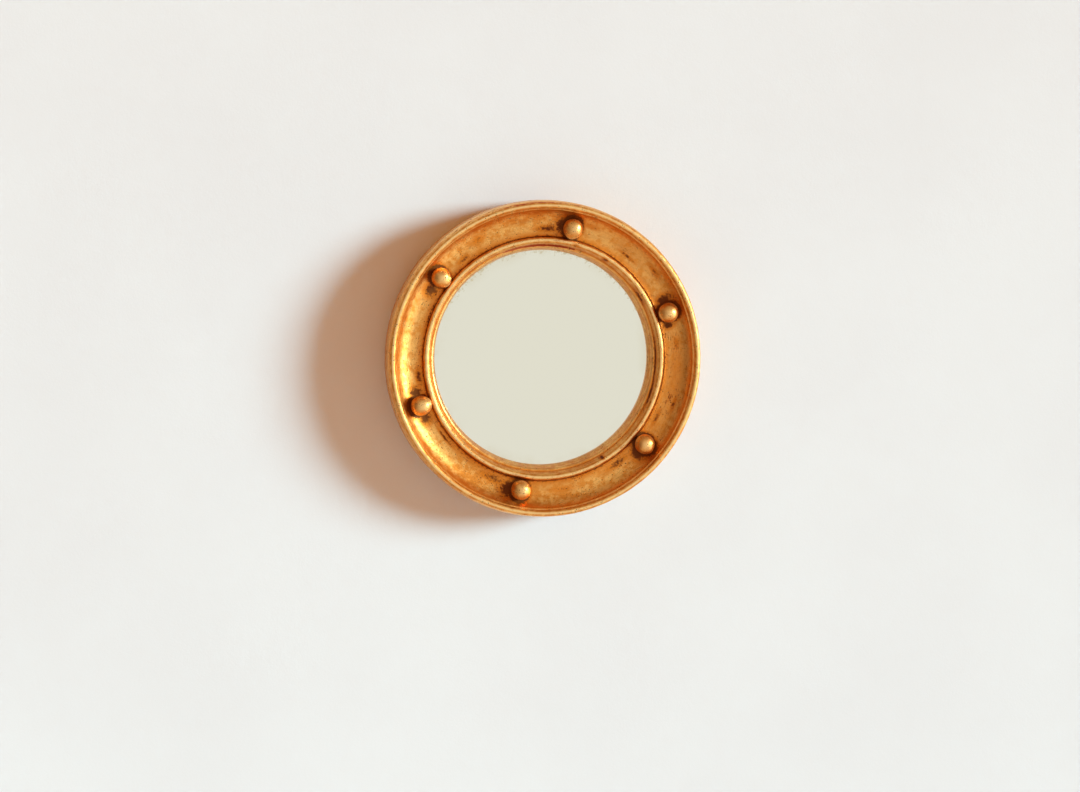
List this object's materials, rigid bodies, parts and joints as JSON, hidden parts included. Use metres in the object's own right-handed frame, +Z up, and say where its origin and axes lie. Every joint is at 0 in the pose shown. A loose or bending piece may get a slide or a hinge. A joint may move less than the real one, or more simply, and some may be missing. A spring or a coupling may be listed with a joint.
{
  "type": "convex mirror",
  "caption": "Small round convex wall mirror in a turned gilt frame with balls set in its cove, a reeded slip round the glass and a hanging ring let into the back.",
  "frame": {"origin": "centre of the flat back, on the wall", "axes": "+Y into the wall along the mirror's axis, so the front faces -Y; +Z up as hung; +X to the right seen from the front"},
  "size_m": [0.216, 0.0318, 0.216],
  "materials": {
    "gilding": "turned wood with gesso, red bole and burnished gold leaf, worn and toned",
    "silvered_glass": "domed silvered glass, lightly foxed at its margin",
    "felt": "pressed felt",
    "plywood": "bare plywood, darkened with age",
    "steel": "dull steel pins",
    "brass": "dull lacquered brass",
    "dowel": "bare beech dowel"
  },
  "bodies": {
    "mirror": {"frame_moulding": "gilding", "sight_slip": "gilding", "mirror_glass": "silvered_glass", "glass_packing": "felt", "backboard": "plywood", "backboard_pins": "steel", "ball_1": "gilding", "ball_2": "gilding", "ball_3": "gilding", "ball_4": "gilding", "ball_5": "gilding", "ball_6": "gilding", "ball_peg_1": "dowel", "ball_peg_2": "dowel", "ball_peg_3": "dowel", "ball_peg_4": "dowel", "ball_peg_5": "dowel", "ball_peg_6": "dowel", "hanger_strap": "brass", "hanger_screw": "brass"},
    "ring": {"hanger_ring": "brass"}
  },
  "joints": [
    {"name": "ring_swing", "type": "hinge", "parent": "mirror", "child": "ring", "pos_m": [0, -0.00382, 0.0927], "axis": [-1, 0, 0], "range_deg": [-4, 142]}
  ]
}
